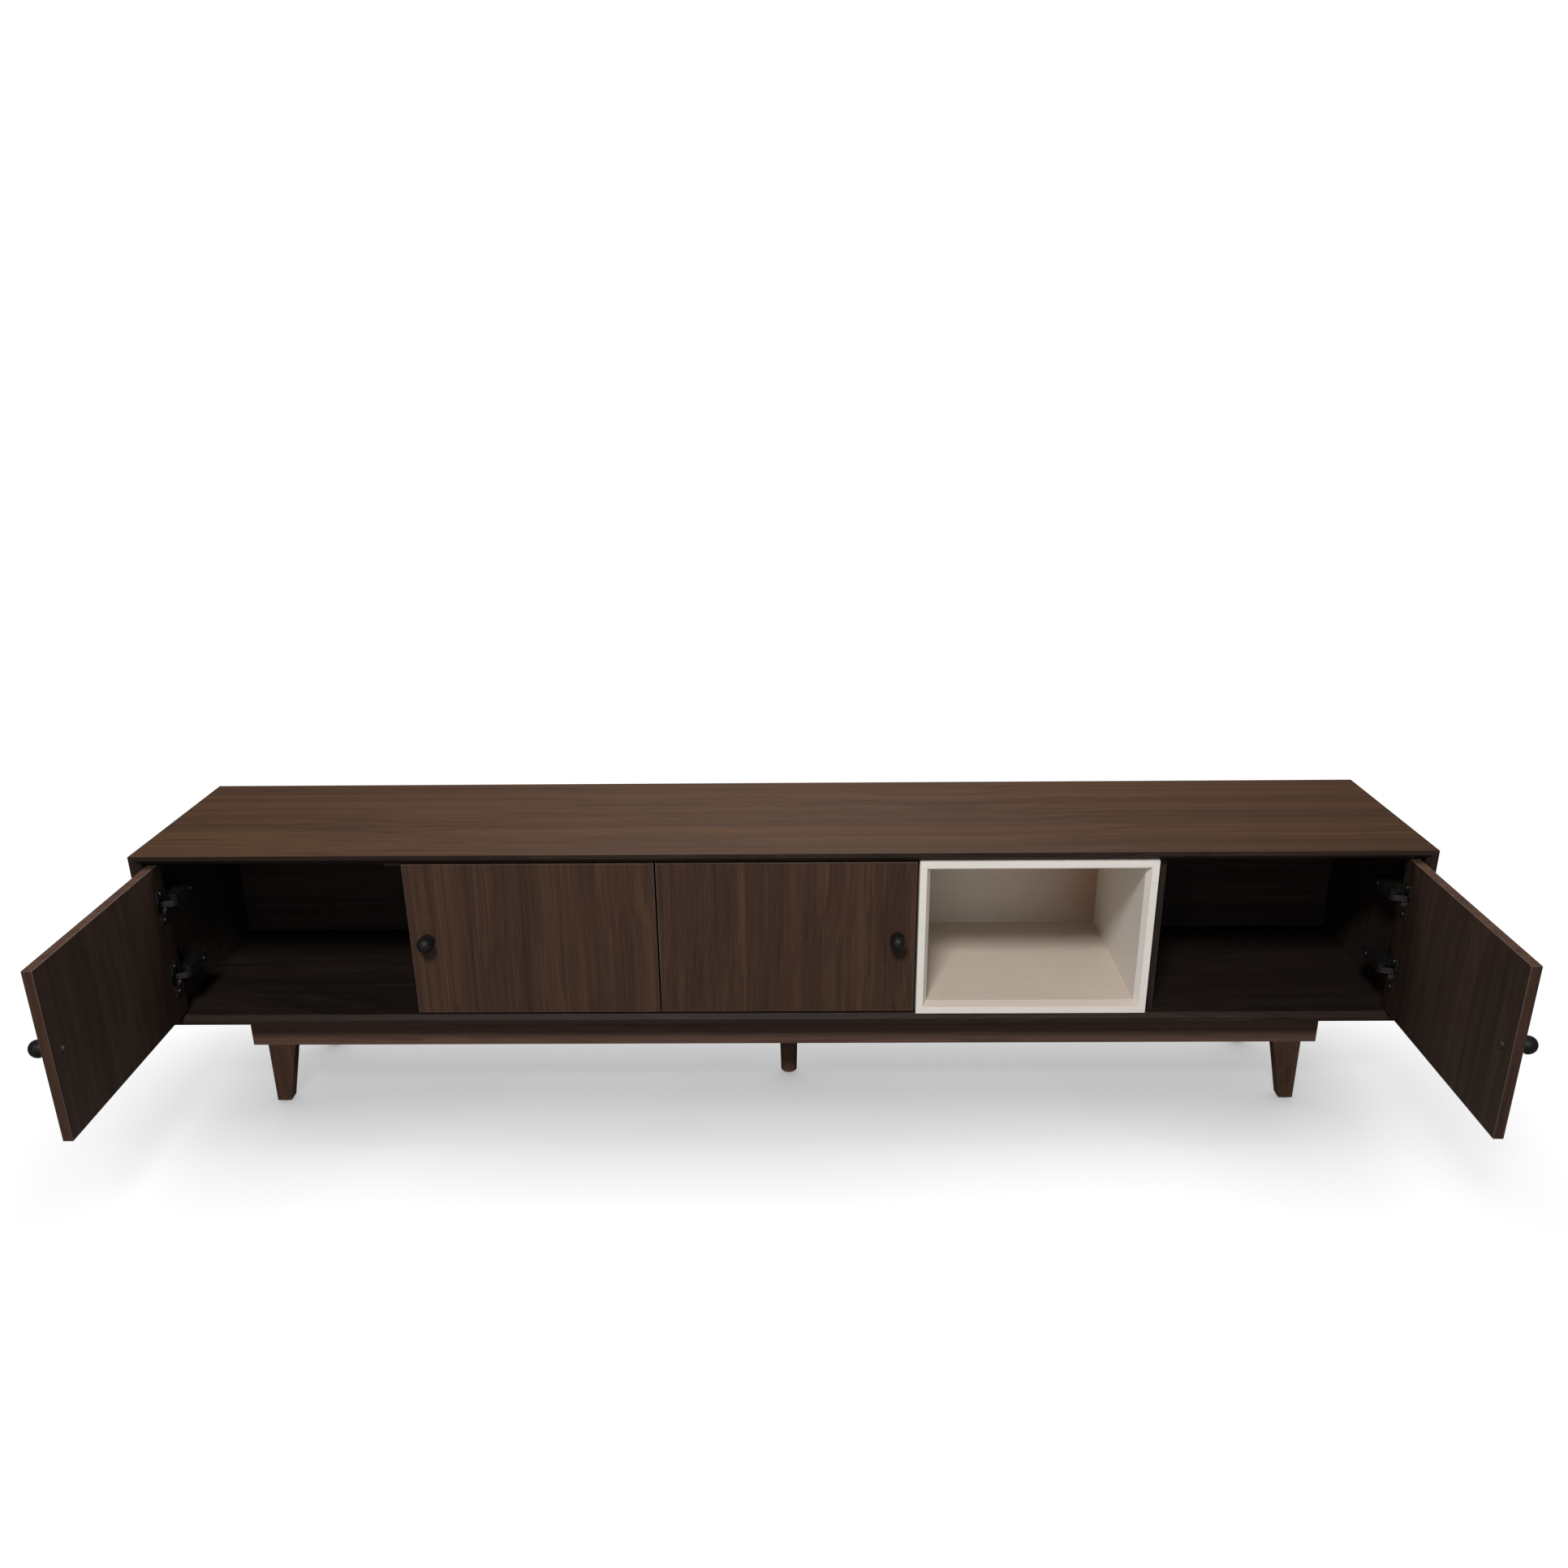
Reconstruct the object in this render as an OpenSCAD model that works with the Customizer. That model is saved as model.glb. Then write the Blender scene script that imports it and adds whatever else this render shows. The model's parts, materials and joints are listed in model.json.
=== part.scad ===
// Low console cabinet for a television: a mitred case on a plinth with legs,
// four hinged doors and one open white niche.  Millimetres, +Z up, front to -Y.
// The origin is on the floor, at the middle of the box around the case and its open
// outer doors.  It lies on the case's centre line, just in front of the case.

/* [Case] */
// Overall width of the case
case_w = 2200; // [2100:10:2400]
// Depth of the case, front to back
case_d = 400; // [380:5:500]
// Height of the case alone
case_h = 318; // [280:2:380]
// Thickness of the case boards, dividers and doors
board_t = 16; // [15:1:18]
// Width and depth of the bevel along the inside of the case's front edge
front_bevel = 8; // [4:1:9]
// Height of the underside of the case above the floor
case_lift = 182; // [160:2:220]
// Distance of the front of the case behind the origin
case_front_y = 7.75; // [-200:0.25:50]

/* [Layout] */
// Middle of the gap between the first and second doors
gap_12_x = -643; // [-660:1:-630]
// Middle of the gap between the second and third doors
gap_23_x = -212; // [-230:1:-190]
// Left outer face of the niche
niche_x0 = 236.5; // [225:0.5:250]
// Outer width of the niche
niche_w = 402; // [380:1:420]
// Gap around each door
door_gap = 3; // [2:0.5:4]
// Gap between the third door and the proud side of the niche
niche_gap = 4; // [3:0.5:6]
// Set-back of the door fronts behind the front of the case
door_set_back = 8; // [4:1:12]
// How far the two outer doors stand open
outer_door_angle = 89; // [0:1:105]

/* [Niche] */
// Thickness of the niche boards
niche_t = 19; // [16:1:22]
// Set-back of the niche front behind the front of the case
niche_set_back = 2; // [0:1:6]
// Depth of the niche, front to back
niche_d = 370; // [300:5:372]
// Width of the bevel inside the niche's front edge
niche_bevel = 7; // [3:1:10]
// Depth of the bevel inside the niche's front edge
niche_bevel_d = 15; // [5:1:20]

/* [Back] */
// Thickness of the back panels
back_t = 4; // [3:0.5:5]
// Set-back of the back panels from the rear edge of the case
back_inset = 8; // [6:1:15]
// Radius of the cable holes in the back panels
cable_hole_r = 30; // [20:1:40]

/* [Plinth] */
// Height of the plinth rails
rail_h = 64; // [40:1:90]
// Half of the plinth's width
plinth_half_w = 963; // [900:1:1000]
// Set-back of the front rail and front legs behind the case
plinth_set_back = 44; // [20:1:80]
// Distance from the case's front to the rear face of the rear rail
plinth_back_y = 326; // [320:1:350]
// Thickness of the front rail and front legs
front_rail_t = 26; // [20:1:30]
// Thickness of the other rails
rail_t = 20; // [16:1:22]
// Distance of the cross rails from the middle
cross_rail_x = 480; // [350:10:600]

/* [Legs] */
// Distance of the front legs' upright outer edge from the middle
leg_outer_x = 937; // [900:1:945]
// Width of a front leg at its top
leg_top_w = 50; // [40:1:60]
// Width of a front leg at its foot
leg_foot_w = 26; // [20:1:34]
// Diameter of a round leg at its top
round_leg_top_d = 38; // [32:1:44]
// Diameter of a round leg at its foot
round_leg_foot_d = 30; // [24:1:32]
// Distance of the round rear legs from the middle
rear_leg_x = 900; // [850:1:915]
// Distance of the rear legs' centres from the case's front
rear_leg_y = 279; // [250:1:282]
// Distance of the middle leg's centre from the case's front
centre_leg_y = 158; // [120:1:240]
// Sideways place of the middle leg
centre_leg_x = 11; // [-40:1:40]
// Thickness of the glides under the legs
glide_t = 2; // [1:0.5:4]

/* [Knobs] */
// Diameter of a knob's head
knob_d = 28; // [26:1:30]
// How far a knob stands out from its door
knob_reach = 35; // [32:1:42]
// Distance of a knob from the door's free edge
knob_inset = 31; // [25:1:60]

/* [Hinges] */
// Distance of each hinge from the door's top or bottom edge
hinge_inset = 72; // [50:1:110]
// Distance of the turning axis from the door's hinge edge
pivot_in = 11; // [9:0.5:13]
// Depth of the turning axis behind the door's front face
pivot_deep = 5; // [4:0.5:6]
// Turn of the hinge link for each degree of the door
link_ratio = -0.229; // [-0.235:0.001:-0.22]

/* [Hidden] */
$fn = 48;
over = 1; // how far a cutting shape runs past a face
y_front = case_front_y;
z_low = case_lift;
z_high = case_lift + case_h;
z_mid = (z_low + z_high) / 2;
z_floor_in = z_low + board_t;
z_roof_in = z_high - board_t;
side_in_x = case_w / 2 - board_t;
divider_front_gap = 0.5;
shared_divider_gap = 4.6; // room for two doors to turn in front of the divider they share
divider_y0 = y_front + door_set_back + board_t + divider_front_gap;
shared_divider_y0 = divider_y0 - divider_front_gap + shared_divider_gap;
back_y0 = y_front + case_d - back_inset - back_t;
groove_deep = 6;
niche_y0 = y_front + niche_set_back;
niche_play_z = 0.7;
niche_h = case_h - 2 * (board_t + niche_play_z);
niche_back_t = 6;
groove_play = 0.2;
panel_play = 0.25;
slip = 0.05;

// Doors: [hinge edge x, direction from the hinge edge, width, wall offset, rest angle]
door_z0 = z_floor_in + door_gap;
door_h = case_h - 2 * board_t - 2 * door_gap;
half_gap = door_gap / 2;
door_2_x0 = gap_12_x + half_gap;
door_2_x1 = gap_23_x - half_gap;
door_3_x0 = gap_23_x + half_gap;
door_3_x1 = niche_x0 - niche_gap;
niche_x1 = niche_x0 + niche_w;
door_4_x0 = niche_x1 + door_gap;
half_board = board_t / 2;
mid_wall = half_board - half_gap;
DOORS = [
    [-side_in_x + door_gap, 1, gap_12_x - half_gap + side_in_x - door_gap, -door_gap, outer_door_angle],
    [door_2_x1, -1, door_2_x1 - door_2_x0, mid_wall, 0],
    [door_3_x0, 1, door_3_x1 - door_3_x0, mid_wall, 0],
    [side_in_x - door_gap, -1, side_in_x - door_gap - door_4_x0, -door_gap, outer_door_angle]
];
HINGE_Z = [door_z0 + hinge_inset, door_z0 + door_h - hinge_inset];

// Left faces and front edges of the four dividers
first_divider_offset = 2;
niche_left_play = 0.5;
niche_right_play = 1.5;
DIVIDER_X = [gap_12_x - first_divider_offset, gap_23_x - half_board,
             niche_x0 - niche_left_play - board_t, niche_x1 + niche_right_play];
DIVIDER_Y0 = [divider_y0, shared_divider_y0, divider_y0, divider_y0];
dowel_inset = 60;
DOWEL_Y = [divider_y0 + dowel_inset, back_y0 - dowel_inset];
dowel_r = 4;
dowel_in_panel = 10;
dowel_in_divider = 20;

// Stop strip that the first door closes against
stop_w = 31;
stop_h = 11;
stop_d = 12;

// Hinge fittings, in door coordinates: u runs from the hinge edge into the door,
// v runs from its front face to the back
cup_u = 22.5;
cup_r = 17.4;
cup_in_r = 15.9;
cup_floor_t = 0.9;
cup_deep = 11.8;
flange_w = 24;
flange_h = 62;
flange_t = 1.2;
cup_screw_z = 24;
cup_play = 0.1;
cup_screw_in = 10;
arm_u0 = 22;
arm_u1 = 36;
arm_v0 = 21.6;
arm_v1 = 95;
arm_half_w = 9.5;
arm_sheet = 1.5;
arm_clamp_v = 80;
link_pin = [30, 24.5];
link_pin_r = 2;
link_t = 2.2;
link_w = 10;
LINK_PATH = [link_pin, [24, 20], [31, 9.6], [29, 8.2], [10, 9.5]];
link_knuckle_r = 3.3;
plate_t = 2.5;
plate_v0 = 48;
plate_wing_w = 22;
plate_wing_h = 52;
riser_v1 = 92;
riser_half_w = 7.6;
PLATE_SCREW_Z = [-19, 19];
hole_play = 0.5; // how much deeper a blind hole is than what stands in it

// Screws
screw_r = 1.9;
screw_head_r = 3.6;
screw_head_h = 1.8;
knob_screw_r = 2;
knob_screw_head_r = 4.5;
knob_screw_in = 14;
base_screw_r = 2.4;
base_head_r = 4.5;
base_head_h = 3;
base_screw_in = 9.5;
base_counterbore_z = 158;
BASE_SCREW_X = [-760, -250, 250, 760];
back_screw_r = 1.5;
back_screw_head_r = 3.2;
back_screw_top_r = 2;
back_screw_head_h = 1.6;
back_screw_inset = 30;
BACK_SCREW_Z = [z_floor_in + back_screw_inset, z_mid, z_roof_in - back_screw_inset];
cable_hole_z = z_floor_in + 60;
CABLE_HOLE_X = [-430, 12];
LEG_DOWEL_X = [leg_outer_x - 12, leg_outer_x - 32];
leg_dowel_r = 5;
leg_dowel_half = 24;
leg_plate_t = 3;
leg_plate_w = 50;
leg_stud_r = 4;
leg_stud_h = 38;
LEG_PLATE_SCREW = [-19, 19];
rail_z0 = z_low - rail_h;
front_rail_y0 = y_front + plinth_set_back;
rear_rail_y0 = y_front + plinth_back_y - rail_t;
ROUND_LEGS = [[-rear_leg_x, y_front + rear_leg_y], [rear_leg_x, y_front + rear_leg_y],
              [centre_leg_x, y_front + centre_leg_y]];
FRONT_FEET = [[-leg_outer_x + leg_foot_w / 2, front_rail_y0 + front_rail_t / 2],
              [leg_outer_x - leg_foot_w / 2, front_rail_y0 + front_rail_t / 2]];
glide_r = 9;
glide_pin_r = 2.5;
glide_pin_h = 10;

WALNUT = [0.27, 0.18, 0.14];
DARK_WALNUT = [0.22, 0.15, 0.12];
WHITE = [0.87, 0.84, 0.8];
BLACK = [0.08, 0.08, 0.08];
STEEL = [0.6, 0.6, 0.62];
BEECH = [0.76, 0.62, 0.44];

// ---------------------------------------------------------------- helpers

// Upper board of a mitred frame, centred on X and Z, with its front edge at y = 0
module frame_board(w, h, t, d, bevel, bevel_d) {
    intersection() {
        translate([0, d, 0]) rotate([90, 0, 0]) linear_extrude(d)
            polygon([[-w / 2, h / 2], [w / 2, h / 2], [w / 2 - t, h / 2 - t], [t - w / 2, h / 2 - t]]);
        translate([-w / 2, 0, 0]) rotate([90, 0, 90]) linear_extrude(w)
            polygon([[0, h / 2], [d, h / 2], [d, h / 2 - t], [bevel_d, h / 2 - t], [0, h / 2 - t + bevel]]);
    }
}

// One board of a mitred frame; turn 0 is the upper one, 90 the right-hand one
module turned_board(turn, w, h, t, d, bevel, bevel_d) {
    upright = turn == 90 || turn == 270;
    rotate([0, turn, 0]) frame_board(upright ? h : w, upright ? w : h, t, d, bevel, bevel_d);
}

module case_board(turn) {
    difference() {
        translate([0, y_front, z_mid])
            turned_board(turn, case_w, case_h, board_t, case_d, front_bevel, front_bevel);
        back_groove();
    }
}

// Block that cuts the groove for the back panels into the case boards
module back_groove() {
    translate([-side_in_x - groove_deep, back_y0 - groove_play / 2, z_floor_in - groove_deep])
        cube([2 * (side_in_x + groove_deep), back_t + groove_play,
              case_h - 2 * board_t + 2 * groove_deep]);
}

module niche_board(turn) {
    translate([niche_x0 + niche_w / 2, niche_y0, z_mid])
        turned_board(turn, niche_w, niche_h, niche_t, niche_d, niche_bevel, niche_bevel_d);
}

module dowel_holes() {
    for (x = DIVIDER_X, y = DOWEL_Y, z = [z_floor_in, z_roof_in]) {
        below = z == z_floor_in ? dowel_in_panel : dowel_in_divider;
        above = z == z_floor_in ? dowel_in_divider : dowel_in_panel;
        translate([x + half_board, y, z - below - hole_play])
            cylinder(r = dowel_r + slip, h = below + above + 2 * hole_play);
    }
}

module divider(i) {
    color(DARK_WALNUT) difference() {
        translate([DIVIDER_X[i], DIVIDER_Y0[i], z_floor_in])
            cube([board_t, back_y0 - DIVIDER_Y0[i], case_h - 2 * board_t]);
        dowel_holes();
    }
}

// Back panel between two x positions, held in the groove of the case
module back_panel(x0, x1) {
    color(DARK_WALNUT) difference() {
        translate([x0, back_y0, z_floor_in - groove_deep + panel_play])
            cube([x1 - x0, back_t, case_h - 2 * board_t + 2 * (groove_deep - panel_play)]);
        for (x = CABLE_HOLE_X) translate([x, back_y0 - over, cable_hole_z]) rotate([-90, 0, 0])
            cylinder(r = cable_hole_r, h = back_t + 2 * over);
        back_screw_holes();
    }
}

// Screws stand in the middle of a divider, or in its quarters where two panels meet on it
function back_screw_x() =
    let (quarter = board_t / 4)
    [DIVIDER_X[0] + half_board, DIVIDER_X[1] + quarter, DIVIDER_X[1] + 3 * quarter,
     DIVIDER_X[2] + half_board, DIVIDER_X[3] + quarter, DIVIDER_X[3] + 3 * quarter];

module back_screw_holes() {
    for (x = back_screw_x(), z = BACK_SCREW_Z) {
        translate([x, back_y0 - over, z]) rotate([-90, 0, 0])
            cylinder(r = back_screw_r + slip, h = back_t + 2 * over);
    }
}

// Vertical screw hole through a rail into the bottom panel
module base_screw_holes() {
    for (x = BASE_SCREW_X, y = [front_rail_y0 + front_rail_t / 2, rear_rail_y0 + rail_t / 2]) {
        translate([x, y, rail_z0 - over])
            cylinder(r = base_head_r + 1, h = base_counterbore_z - rail_z0 + over);
        translate([x, y, rail_z0])
            cylinder(r = base_screw_r + slip, h = z_low - rail_z0 + base_screw_in + hole_play);
    }
}

module rail(x0, x1, y0, y1) {
    color(WALNUT) difference() {
        translate([x0, y0, rail_z0]) cube([x1 - x0, y1 - y0, rail_h]);
        base_screw_holes();
        leg_dowel_holes();
    }
}

module leg_dowel_holes() {
    for (side = [-1, 1], x = LEG_DOWEL_X) {
        translate([side * x, front_rail_y0 + front_rail_t / 2, rail_z0 - leg_dowel_half - hole_play])
            cylinder(r = leg_dowel_r + slip, h = 2 * (leg_dowel_half + hole_play));
    }
}

module glide_hole(p) {
    translate([p[0], p[1], 0]) cylinder(r = glide_pin_r + slip, h = glide_t + glide_pin_h + hole_play);
}

// Tapered front leg: upright on its outer edge, sloping on its inner edge
module front_leg(side) {
    color(WALNUT) difference() {
        translate([0, front_rail_y0 + front_rail_t, 0]) rotate([90, 0, 0]) linear_extrude(front_rail_t)
            polygon([[side * leg_outer_x, rail_z0], [side * leg_outer_x, glide_t],
                     [side * (leg_outer_x - leg_foot_w), glide_t],
                     [side * (leg_outer_x - leg_top_w), rail_z0]]);
        glide_hole(FRONT_FEET[side < 0 ? 0 : 1]);
        leg_dowel_holes();
    }
}

// Round tapered leg that hangs from a plate under the case
module round_leg(p) {
    color(WALNUT) difference() {
        translate([p[0], p[1], glide_t])
            rotate_extrude() polygon([[0, 0], [round_leg_foot_d / 2 - 2, 0], [round_leg_foot_d / 2, 2],
                                      [round_leg_top_d / 2, z_low - leg_plate_t - glide_t],
                                      [0, z_low - leg_plate_t - glide_t]]);
        glide_hole(p);
        translate([p[0], p[1], z_low - leg_plate_t - leg_stud_h - hole_play])
            cylinder(r = leg_stud_r + slip, h = leg_stud_h + hole_play + over);
    }
}

// Places children given in the coordinates of closed door i, mirrored where it hangs on its right
module closed_door_place(i) {
    translate([DOORS[i][0], y_front + door_set_back, 0]) scale_x(DOORS[i][1]) children();
}

module scale_x(direction) {
    if (direction > 0) children();
    else mirror([1, 0, 0]) children();
}

// Places children on door i at its rest angle, turned about the hinge axis
module door_place(i) {
    closed_door_place(i)
        translate([pivot_in, pivot_deep, 0]) rotate([0, 0, -DOORS[i][4]])
            translate([-pivot_in, -pivot_deep, 0]) children();
}

// Places children on the hinge links of door i, turned about the link pins
module link_place(i) {
    closed_door_place(i)
        translate([link_pin[0], link_pin[1], 0]) rotate([0, 0, -link_ratio * DOORS[i][4]])
            translate([-link_pin[0], -link_pin[1], 0]) children();
}

module at_hinges() {
    for (z = HINGE_Z) translate([0, 0, z]) children();
}

// Cylinder along v, from v0 with length h
module v_cylinder(u, v0, r, h) {
    translate([u, v0, 0]) rotate([-90, 0, 0]) cylinder(r = r, h = h);
}

// ---------------------------------------------------------------- case

module top_panel() {
    color(WALNUT) difference() { case_board(0); dowel_holes(); }
}

module bottom_panel() {
    color(WALNUT) difference() {
        case_board(180);
        dowel_holes();
        base_screw_holes();
    }
}

module left_side() { color(WALNUT) case_board(270); }
module right_side() { color(WALNUT) case_board(90); }

module divider_1() { divider(0); }
module divider_2() { divider(1); }
module divider_3() { divider(2); }
module divider_4() { divider(3); }

back_split_1 = DIVIDER_X[1] + half_board;
back_split_2 = DIVIDER_X[3] + half_board;
back_end_x = side_in_x + groove_deep - panel_play;
module back_panel_left() { back_panel(-back_end_x, back_split_1 - panel_play); }
module back_panel_middle() { back_panel(back_split_1 + panel_play, back_split_2 - panel_play); }
module back_panel_right() { back_panel(back_split_2 + panel_play, back_end_x); }

module niche_top() { color(WHITE) niche_board(0); }
module niche_bottom() { color(WHITE) niche_board(180); }
module niche_left() { color(WHITE) niche_board(270); }
module niche_right() { color(WHITE) niche_board(90); }

module niche_back() {
    inner_h = niche_h - 2 * niche_t;
    color(WHITE) translate([niche_x0 + niche_t, niche_y0 + niche_d - niche_back_t, z_mid - inner_h / 2])
        cube([niche_w - 2 * niche_t, niche_back_t, inner_h]);
}

module stop_block() {
    color(WALNUT) translate([DIVIDER_X[0] - stop_w, divider_y0, z_roof_in - stop_h])
        cube([stop_w, stop_d, stop_h]);
}

// ---------------------------------------------------------------- plinth

module front_rail() {
    rail(-plinth_half_w, plinth_half_w, front_rail_y0, front_rail_y0 + front_rail_t);
}

module rear_rail() { rail(-plinth_half_w, plinth_half_w, rear_rail_y0, rear_rail_y0 + rail_t); }

// Rail running front to back, with its middle at x
module fore_and_aft_rail(x) {
    rail(x - rail_t / 2, x + rail_t / 2, front_rail_y0 + front_rail_t, rear_rail_y0);
}

module end_rail_left() { fore_and_aft_rail(-plinth_half_w + rail_t / 2); }
module end_rail_right() { fore_and_aft_rail(plinth_half_w - rail_t / 2); }
module cross_rail_left() { fore_and_aft_rail(-cross_rail_x); }
module cross_rail_right() { fore_and_aft_rail(cross_rail_x); }

module front_leg_left() { front_leg(-1); }
module front_leg_right() { front_leg(1); }
module rear_leg_left() { round_leg(ROUND_LEGS[0]); }
module rear_leg_right() { round_leg(ROUND_LEGS[1]); }
module centre_leg() { round_leg(ROUND_LEGS[2]); }

// Steel plate with its threaded stud, one above each round leg
module leg_plates() {
    color(STEEL) for (p = ROUND_LEGS) {
        difference() {
            union() {
                translate([p[0] - leg_plate_w / 2, p[1] - leg_plate_w / 2, z_low - leg_plate_t])
                    cube([leg_plate_w, leg_plate_w, leg_plate_t]);
                translate([p[0], p[1], z_low - leg_plate_t - leg_stud_h])
                    cylinder(r = leg_stud_r, h = leg_stud_h + leg_plate_t);
            }
            leg_plate_screw_holes(p);
        }
    }
}

module leg_plate_screw_holes(p) {
    for (dx = LEG_PLATE_SCREW, dy = LEG_PLATE_SCREW) {
        translate([p[0] + dx, p[1] + dy, z_low - leg_plate_t - over])
            cylinder(r = screw_r + slip, h = leg_plate_t + 2 * over);
    }
}

module foot_glides() {
    color(BLACK) for (p = concat(ROUND_LEGS, FRONT_FEET)) {
        translate([p[0], p[1], 0]) {
            cylinder(r = glide_r, h = glide_t);
            cylinder(r = glide_pin_r, h = glide_t + glide_pin_h);
        }
    }
}

// ---------------------------------------------------------------- fixings

module divider_dowels() {
    color(BEECH) for (x = DIVIDER_X, y = DOWEL_Y, z = [z_floor_in, z_roof_in]) {
        below = z == z_floor_in ? dowel_in_panel : dowel_in_divider;
        translate([x + half_board, y, z - below])
            cylinder(r = dowel_r, h = dowel_in_panel + dowel_in_divider);
    }
}

module leg_dowels() {
    color(BEECH) for (side = [-1, 1], x = LEG_DOWEL_X) {
        translate([side * x, front_rail_y0 + front_rail_t / 2, rail_z0 - leg_dowel_half])
            cylinder(r = leg_dowel_r, h = 2 * leg_dowel_half);
    }
}

// Screws that hold the back panels to the dividers, with their heads behind
module back_screws() {
    color(STEEL) for (x = back_screw_x(), z = BACK_SCREW_Z) {
        translate([x, back_y0, z]) rotate([-90, 0, 0]) {
            cylinder(r = back_screw_r, h = back_t);
            translate([0, 0, back_t])
                cylinder(r1 = back_screw_head_r, r2 = back_screw_top_r, h = back_screw_head_h);
        }
    }
}

// Long screws that hold the plinth rails to the bottom panel
module base_screws() {
    color(STEEL) for (x = BASE_SCREW_X, y = [front_rail_y0 + front_rail_t / 2, rear_rail_y0 + rail_t / 2]) {
        translate([x, y, base_counterbore_z - base_head_h]) {
            cylinder(r = base_head_r, h = base_head_h);
            cylinder(r = base_screw_r, h = z_low + base_screw_in - base_counterbore_z + base_head_h);
        }
    }
}

module leg_plate_screws() {
    color(STEEL) for (p = ROUND_LEGS, dx = LEG_PLATE_SCREW, dy = LEG_PLATE_SCREW) {
        translate([p[0] + dx, p[1] + dy, z_low - leg_plate_t - screw_head_h]) {
            cylinder(r = screw_head_r, h = screw_head_h);
            cylinder(r = screw_r, h = screw_head_h + leg_plate_t);
        }
    }
}

// ---------------------------------------------------------------- hinges, case side

// Winged mounting plate with the riser that carries the hinge arm
module hinge_plate(wall) {
    difference() {
        union() {
            translate([wall, plate_v0, -plate_wing_h / 2])
                cube([plate_t, plate_wing_w, plate_wing_h]);
            translate([wall, plate_v0, -riser_half_w])
                cube([arm_u1 - arm_sheet - wall, riser_v1 - plate_v0, 2 * riser_half_w]);
        }
        for (z = PLATE_SCREW_Z) {
            translate([wall - over, plate_v0 + plate_wing_w / 2, z]) rotate([0, 90, 0])
                cylinder(r = screw_r + slip, h = plate_t + 2 * over);
        }
    }
}

module hinge_plates() {
    color(STEEL) for (i = [0:3]) closed_door_place(i) at_hinges() hinge_plate(DOORS[i][3]);
}

// Folded steel arm: a channel over the riser, with ears at its tip for the pin
module hinge_arm() {
    difference() {
        translate([arm_u0, arm_v0, -arm_half_w])
            cube([arm_u1 - arm_u0, arm_v1 - arm_v0, 2 * arm_half_w]);
        translate([arm_u0 - over, arm_v0 - over, arm_sheet - arm_half_w])
            cube([arm_u1 - arm_u0 + over - arm_sheet, arm_v1 - arm_v0 + 2 * over,
                  2 * (arm_half_w - arm_sheet)]);
        translate([link_pin[0], link_pin[1], -arm_half_w - over])
            cylinder(r = link_pin_r, h = 2 * (arm_half_w + over));
        translate([arm_u1 - arm_sheet - over, arm_clamp_v, 0]) rotate([0, 90, 0])
            cylinder(r = screw_r + slip, h = arm_sheet + 2 * over);
    }
}

module hinge_arms() {
    color(STEEL) for (i = [0:3]) closed_door_place(i) at_hinges() hinge_arm();
}

module hinge_pins() {
    color(STEEL) for (i = [0:3]) closed_door_place(i) at_hinges()
        translate([link_pin[0], link_pin[1], -arm_half_w])
            cylinder(r = link_pin_r, h = 2 * arm_half_w);
}

// Two wood screws in each plate and one clamp screw through each arm
module hinge_plate_screws() {
    color(STEEL) for (i = [0:3]) closed_door_place(i) at_hinges() {
        for (z = PLATE_SCREW_Z) {
            translate([DOORS[i][3], plate_v0 + plate_wing_w / 2, z]) rotate([0, 90, 0]) {
                cylinder(r = screw_r, h = plate_t);
                translate([0, 0, plate_t]) cylinder(r = screw_head_r, h = screw_head_h);
            }
        }
        translate([arm_u1 - arm_sheet, arm_clamp_v, 0]) rotate([0, 90, 0]) {
            cylinder(r = screw_r, h = arm_sheet);
            translate([0, 0, arm_sheet]) cylinder(r = screw_head_r, h = screw_head_h);
        }
    }
}

// ---------------------------------------------------------------- doors

function knob_u(i) = DOORS[i][2] - knob_inset;

module door(i) {
    color(WALNUT) door_place(i) difference() {
        translate([0, 0, door_z0]) cube([DOORS[i][2], board_t, door_h]);
        at_hinges() {
            v_cylinder(cup_u, board_t - cup_deep - cup_play, cup_r + slip, cup_deep + cup_play + over);
            for (z = [-cup_screw_z, cup_screw_z]) translate([0, 0, z])
                v_cylinder(cup_u, board_t - cup_screw_in - hole_play, screw_r + slip,
                           cup_screw_in + hole_play + over);
        }
        translate([0, 0, z_mid]) v_cylinder(knob_u(i), -over, knob_screw_r + slip, board_t + 2 * over);
    }
}

// Knob: a thin rose, a waisted neck and a domed head, bored for its screw
module knob(i) {
    r = knob_d / 2;
    head_z = knob_reach - r;
    shoulder_z = head_z - 3;
    foot = [[0, 0], [11.4, 0], [12, 0.8], [12, 2.4], [11.3, 4]];
    waist = [[10.4, 7], [10.2, 10.5], [10.8, 13.5]];
    flare = [[r - 1.6, shoulder_z - 1.2], [r - 0.4, shoulder_z + 0.5], [0, shoulder_z + 0.5]];
    color(BLACK) door_place(i) translate([knob_u(i), 0, z_mid]) rotate([90, 0, 0])
        rotate_extrude() difference() {
            union() {
                polygon(concat(foot, waist, flare));
                intersection() {
                    translate([0, head_z]) circle(r = r, $fn = 64);
                    translate([0, shoulder_z]) square([r, knob_reach]);
                }
            }
            square([knob_screw_r + slip, knob_screw_in + hole_play]);
            translate([-2 * r, -over]) square([2 * r, 2 * knob_reach]);
        }
}

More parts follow.
